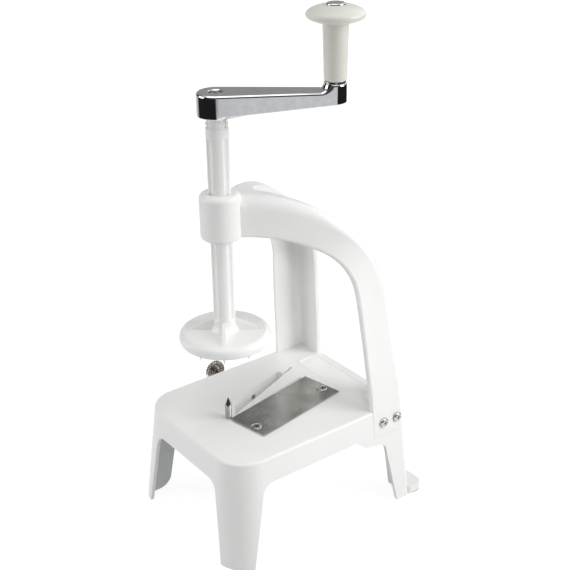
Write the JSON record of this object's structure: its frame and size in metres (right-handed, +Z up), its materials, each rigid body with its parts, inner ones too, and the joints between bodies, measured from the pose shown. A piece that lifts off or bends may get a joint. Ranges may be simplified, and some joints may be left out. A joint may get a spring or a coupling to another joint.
{
  "type": "vegetable spiralizer",
  "caption": "Hand cranked spiral slicer: a stool-shaped base with blade and centre pin, an arch with a collar, and a cranked spindle with a toothed pusher disc.",
  "frame": {"origin": "on the spindle's axis where the centre pin stands on the deck's top face", "axes": "+Z up along the spindle, +Y to the rear where the arch stands, +X to the right"},
  "size_m": [0.1585, 0.1883, 0.4103],
  "materials": {
    "white_plastic": "smooth moulded, satin gloss",
    "ivory_plastic": "smooth moulded, satin gloss",
    "chrome_plate": "bright plated",
    "blade_steel": "brushed along the blade",
    "screw_steel": "machined",
    "dark_nickel": "dark plated, knurled",
    "brass": "turned",
    "rubber": "moulded, matt"
  },
  "bodies": {
    "stand": {"base": "white_plastic", "rear_pads": "rubber", "blade_plate": "blade_steel", "blade_screws": "screw_steel", "blade_nuts": "screw_steel", "center_pin": "screw_steel", "pin_washer": "screw_steel", "pin_nut": "screw_steel", "thumb_insert": "brass", "arch_frame": "white_plastic", "arch_screws": "screw_steel", "arch_nuts": "screw_steel"},
    "collar_ring": {"friction_ring": "rubber"},
    "spindle_unit": {"spindle": "white_plastic", "spindle_insert": "brass", "crank_arm": "chrome_plate", "crank_washer": "screw_steel", "crank_screw": "screw_steel", "grip_washer": "screw_steel", "grip_axle": "chrome_plate"},
    "crank_grip": {"grip": "ivory_plastic"},
    "clamp_screw": {"thumbscrew": "dark_nickel"}
  },
  "joints": [
    {"name": "crank_turn", "type": "hinge", "parent": "stand", "child": "collar_ring", "pos_m": [0, 0, 0.1715], "axis": [0, 0, 1], "continuous": true},
    {"name": "spindle_slide", "type": "slide", "parent": "collar_ring", "child": "spindle_unit", "axis": [0, 0, 1], "range_m": [-0.056, 0.06]},
    {"name": "grip_spin", "type": "hinge", "parent": "spindle_unit", "child": "crank_grip", "pos_m": [0.04907, 0.06632, 0.295], "axis": [0, 0, 1], "continuous": true},
    {"name": "thumbscrew_turn", "type": "hinge", "parent": "stand", "child": "clamp_screw", "pos_m": [-0.06, 0.041, -0.0085], "axis": [1, 0, 0], "continuous": true}
  ]
}
